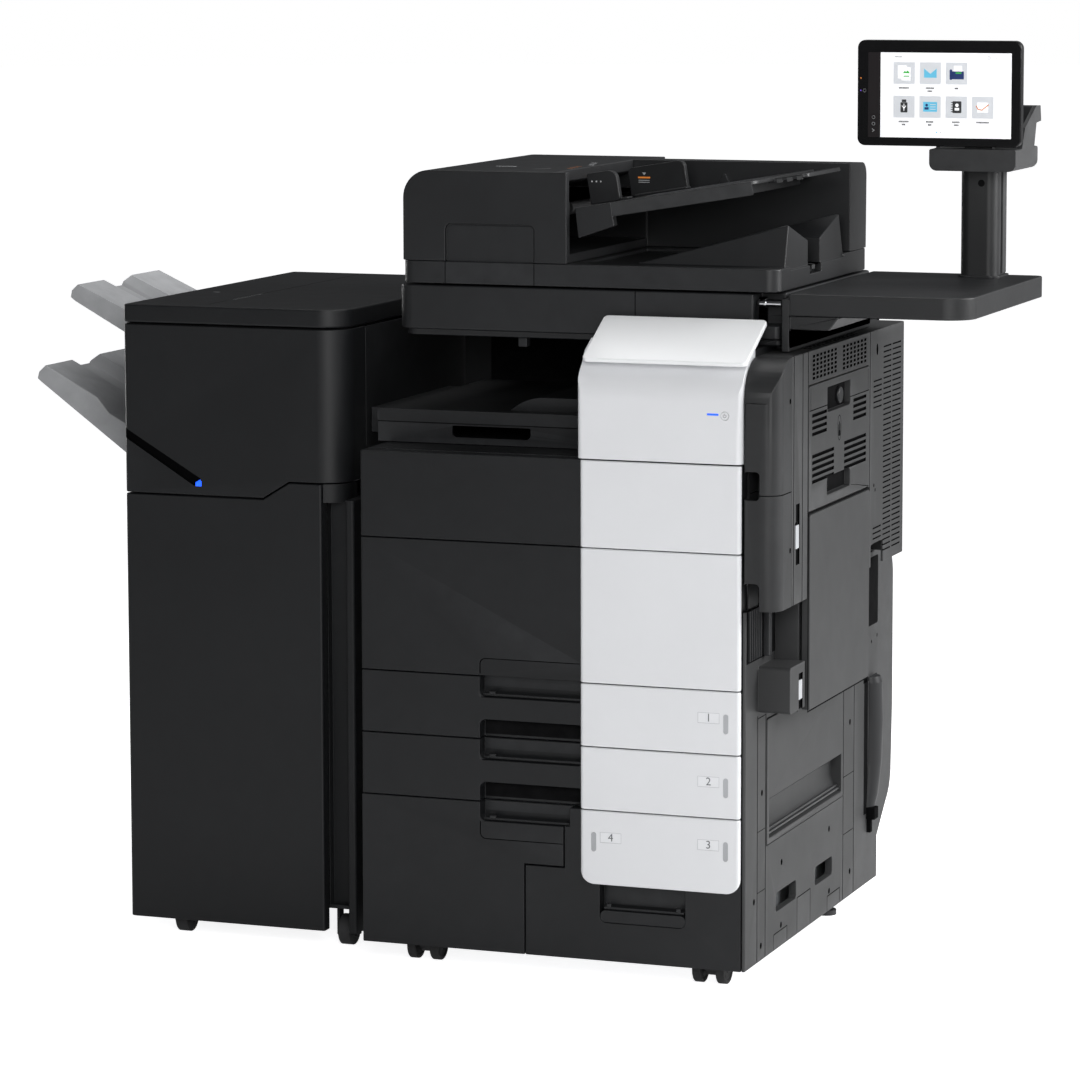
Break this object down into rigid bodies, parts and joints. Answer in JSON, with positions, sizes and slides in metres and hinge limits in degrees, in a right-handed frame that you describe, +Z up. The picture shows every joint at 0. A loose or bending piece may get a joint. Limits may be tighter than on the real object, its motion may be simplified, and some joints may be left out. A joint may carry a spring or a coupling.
{
  "type": "photocopier",
  "caption": "Black floor-standing copier with a white front column, document feeder, paper drawers, side table with touch screen, and a finisher with exit trays on its left.",
  "frame": {"origin": "centre of the whole machine's footprint box, on the floor plane", "axes": "+X to the machine's right as a user faces it, +Y from the front to the back, +Z up"},
  "size_m": [1.579, 0.822, 1.4035],
  "materials": {
    "body_black": "fine moulded texture, satin",
    "door_black": "fine moulded texture, satin",
    "side_grey": "fine moulded texture, matt",
    "feeder_black": "fine moulded texture, satin",
    "white_panel": "smooth, soft gloss",
    "exit_tray_grey": "moulded, matt",
    "inner_grey": "moulded, matt",
    "frame_steel": "galvanised sheet",
    "finisher_black": "powder coated",
    "plate_steel": "brushed sheet",
    "platen_glass": "clear",
    "drum_green": "polished coating",
    "fuser_orange": "silicone rubber",
    "toner_black": "moulded",
    "wheel_rubber": "hard rubber",
    "fork_black": "moulded nylon",
    "screen_black": "gloss front, satin rim",
    "roller_rubber": "soft rubber"
  },
  "bodies": {
    "machine": {"main_frame": "frame_steel", "rear_cover": "side_grey", "right_front_cover": "body_black", "right_rear_cover": "side_grey", "right_lower_cover": "side_grey", "exit_housing": "body_black", "relay_unit": "inner_grey", "white_upper_panel": "white_panel", "top_plate": "white_panel", "scanner_housing": "feeder_black", "platen_glass": "platen_glass", "work_table": "side_grey", "monitor_post": "side_grey", "finisher_body": "finisher_black", "finisher_upper_cover": "body_black", "upper_exit_tray": "exit_tray_grey"},
    "toner_door": {"toner_door": "door_black", "toner_door_trim": "white_panel"},
    "front_door": {"front_door": "door_black", "front_door_trim": "white_panel"},
    "tray_1": {"tray_1_front": "door_black", "tray_1_trim": "white_panel", "tray_1_box": "inner_grey"},
    "tray_1_plate": {"tray_1_lift_plate": "plate_steel"},
    "tray_2": {"tray_2_front": "door_black", "tray_2_trim": "white_panel", "tray_2_box": "inner_grey"},
    "tray_2_plate": {"tray_2_lift_plate": "plate_steel"},
    "left_drawer": {"left_drawer_front": "door_black", "left_drawer_box": "inner_grey"},
    "right_drawer": {"right_drawer_front": "door_black", "right_drawer_trim": "white_panel", "right_drawer_box": "inner_grey"},
    "right_door": {"right_door": "side_grey"},
    "bypass_tray": {"bypass_tray": "side_grey"},
    "lower_right_door": {"lower_right_door": "side_grey"},
    "feeder": {"adf_base": "feeder_black", "adf_body": "feeder_black"},
    "feed_cover": {"adf_feed_cover": "feeder_black"},
    "pickup_roller": {"adf_pickup_roller": "roller_rubber"},
    "document_tray": {"document_tray": "feeder_black"},
    "front_guide": {"document_front_guide": "feeder_black"},
    "rear_guide": {"document_rear_guide": "feeder_black"},
    "scanner_carriage": {"scanner_carriage": "inner_grey"},
    "screen_bracket": {"monitor_bracket": "side_grey"},
    "screen": {"touch_monitor": "screen_black"},
    "screen_button": {"monitor_button": "screen_black"},
    "power_key": {"power_key": "white_panel"},
    "finisher_door": {"finisher_front_door": "door_black"},
    "finisher_top_cover": {"finisher_top_cover": "body_black"},
    "lower_exit_tray": {"lower_exit_tray": "exit_tray_grey"},
    "photoconductor_drum": {"photoconductor_drum": "drum_green"},
    "fuser_roller": {"fuser_roller": "fuser_orange"},
    "toner_bottle": {"toner_bottle": "toner_black"},
    "left_caster_fork": {"front_left_caster_fork": "fork_black"},
    "left_caster_wheels": {"front_left_caster_wheels": "wheel_rubber"},
    "right_caster_fork": {"front_right_caster_fork": "fork_black"},
    "right_caster_wheels": {"front_right_caster_wheels": "wheel_rubber"},
    "rear_wheels": {"rear_wheels": "wheel_rubber"},
    "finisher_wheels": {"finisher_wheels": "wheel_rubber"}
  },
  "joints": [
    {"name": "toner_door_hinge", "type": "hinge", "parent": "machine", "child": "toner_door", "pos_m": [-0.1235, -0.384, 0.727], "axis": [0, 0, -1], "range_deg": [0, 95]},
    {"name": "front_door_hinge", "type": "hinge", "parent": "machine", "child": "front_door", "pos_m": [-0.1235, -0.384, 0.56], "axis": [0, 0, -1], "range_deg": [0, 95]},
    {"name": "tray_1_slide", "type": "slide", "parent": "machine", "child": "tray_1", "axis": [0, -1, 0], "range_m": [0, 0.42]},
    {"name": "tray_1_lift", "type": "hinge", "parent": "tray_1", "child": "tray_1_plate", "pos_m": [-0.0635, -0.134, 0.373], "axis": [0, -1, 0], "range_deg": [0, 7]},
    {"name": "tray_2_slide", "type": "slide", "parent": "machine", "child": "tray_2", "axis": [0, -1, 0], "range_m": [0, 0.42]},
    {"name": "tray_2_lift", "type": "hinge", "parent": "tray_2", "child": "tray_2_plate", "pos_m": [-0.0635, -0.134, 0.277], "axis": [0, -1, 0], "range_deg": [0, 7]},
    {"name": "left_drawer_slide", "type": "slide", "parent": "machine", "child": "left_drawer", "axis": [0, -1, 0], "range_m": [0, 0.42]},
    {"name": "right_drawer_slide", "type": "slide", "parent": "machine", "child": "right_drawer", "axis": [0, -1, 0], "range_m": [0, 0.42]},
    {"name": "right_door_hinge", "type": "hinge", "parent": "machine", "child": "right_door", "pos_m": [0.5335, -0.092, 0.712], "axis": [0, 1, 0], "range_deg": [0, 80]},
    {"name": "bypass_tray_hinge", "type": "hinge", "parent": "machine", "child": "bypass_tray", "pos_m": [0.5365, -0.092, 0.413], "axis": [0, 1, 0], "range_deg": [0, 70]},
    {"name": "lower_right_door_hinge", "type": "hinge", "parent": "machine", "child": "lower_right_door", "pos_m": [0.4835, -0.095, 0.21], "axis": [0, 1, 0], "range_deg": [0, 60]},
    {"name": "feeder_hinge", "type": "hinge", "parent": "machine", "child": "feeder", "pos_m": [0.1995, 0.164, 1.048], "axis": [-1, 0, 0], "range_deg": [0, 65]},
    {"name": "feed_cover_hinge", "type": "hinge", "parent": "feeder", "child": "feed_cover", "pos_m": [-0.0955, -0.102, 1.172], "axis": [0, -1, 0], "range_deg": [0, 70]},
    {"name": "pickup_roller_spin", "type": "hinge", "parent": "feeder", "child": "pickup_roller", "pos_m": [0.1265, -0.104, 1.15], "axis": [0, 1, 0], "continuous": true},
    {"name": "document_tray_hinge", "type": "hinge", "parent": "feeder", "child": "document_tray", "pos_m": [0.1805, -0.104, 1.1338], "axis": [0, -1, 0], "range_deg": [0, 12]},
    {"name": "front_guide_slide", "type": "slide", "parent": "document_tray", "child": "front_guide", "axis": [0, 1, 0], "range_m": [-0.04, 0.05]},
    {"name": "rear_guide_slide", "type": "slide", "parent": "document_tray", "child": "rear_guide", "axis": [0, -1, 0], "range_m": [-0.04, 0.05]},
    {"name": "scanner_carriage_slide", "type": "slide", "parent": "machine", "child": "scanner_carriage", "axis": [1, 0, 0], "range_m": [0, 0.4]},
    {"name": "screen_swivel", "type": "hinge", "parent": "machine", "child": "screen_bracket", "pos_m": [0.7005, 0.125, 1.205], "axis": [0, 0, 1], "range_deg": [-12, 30]},
    {"name": "screen_tilt", "type": "hinge", "parent": "screen_bracket", "child": "screen", "pos_m": [0.7005, 0.07, 1.2575], "axis": [-1, 0, 0], "range_deg": [0, 40]},
    {"name": "screen_button_press", "type": "slide", "parent": "screen", "child": "screen_button", "axis": [1, 0, 0], "range_m": [0, 0.001], "stiffness_N_per_m": 300},
    {"name": "power_key_press", "type": "slide", "parent": "machine", "child": "power_key", "axis": [0, 1, 0], "range_m": [0, 0.0015], "stiffness_N_per_m": 300},
    {"name": "finisher_door_hinge", "type": "hinge", "parent": "machine", "child": "finisher_door", "pos_m": [-0.5445, -0.328, 0.38], "axis": [0, 0, -1], "range_deg": [0, 95]},
    {"name": "finisher_top_cover_hinge", "type": "hinge", "parent": "machine", "child": "finisher_top_cover", "pos_m": [-0.3645, 0.318, 0.972], "axis": [-1, 0, 0], "range_deg": [0, 60]},
    {"name": "lower_exit_tray_travel", "type": "slide", "parent": "machine", "child": "lower_exit_tray", "axis": [0, 0, -1], "range_m": [0, 0.3]},
    {"name": "drum_spin", "type": "hinge", "parent": "machine", "child": "photoconductor_drum", "pos_m": [0.2005, -0.074, 0.6], "axis": [0, 1, 0], "continuous": true},
    {"name": "fuser_spin", "type": "hinge", "parent": "machine", "child": "fuser_roller", "pos_m": [0.3755, -0.074, 0.7], "axis": [0, 1, 0], "continuous": true},
    {"name": "toner_bottle_spin", "type": "hinge", "parent": "machine", "child": "toner_bottle", "pos_m": [0.0605, -0.074, 0.712], "axis": [0, 1, 0], "continuous": true},
    {"name": "left_caster_swivel", "type": "hinge", "parent": "machine", "child": "left_caster_fork", "pos_m": [-0.0445, -0.322, 0.05], "axis": [0, 0, 1], "continuous": true},
    {"name": "left_caster_roll", "type": "hinge", "parent": "left_caster_fork", "child": "left_caster_wheels", "pos_m": [-0.0445, -0.344, 0.024], "axis": [1, 0, 0], "continuous": true},
    {"name": "right_caster_swivel", "type": "hinge", "parent": "machine", "child": "right_caster_fork", "pos_m": [0.4165, -0.322, 0.05], "axis": [0, 0, 1], "continuous": true},
    {"name": "right_caster_roll", "type": "hinge", "parent": "right_caster_fork", "child": "right_caster_wheels", "pos_m": [0.4165, -0.344, 0.024], "axis": [1, 0, 0], "continuous": true},
    {"name": "rear_wheels_roll", "type": "hinge", "parent": "machine", "child": "rear_wheels", "pos_m": [0.1855, 0.236, 0.024], "axis": [1, 0, 0], "continuous": true},
    {"name": "finisher_wheels_roll", "type": "hinge", "parent": "machine", "child": "finisher_wheels", "pos_m": [-0.3345, -0.296, 0.024], "axis": [1, 0, 0], "continuous": true}
  ],
  "couplings": [
    {"joint": "rear_guide_slide", "follows": "front_guide_slide", "ratio": 1}
  ]
}
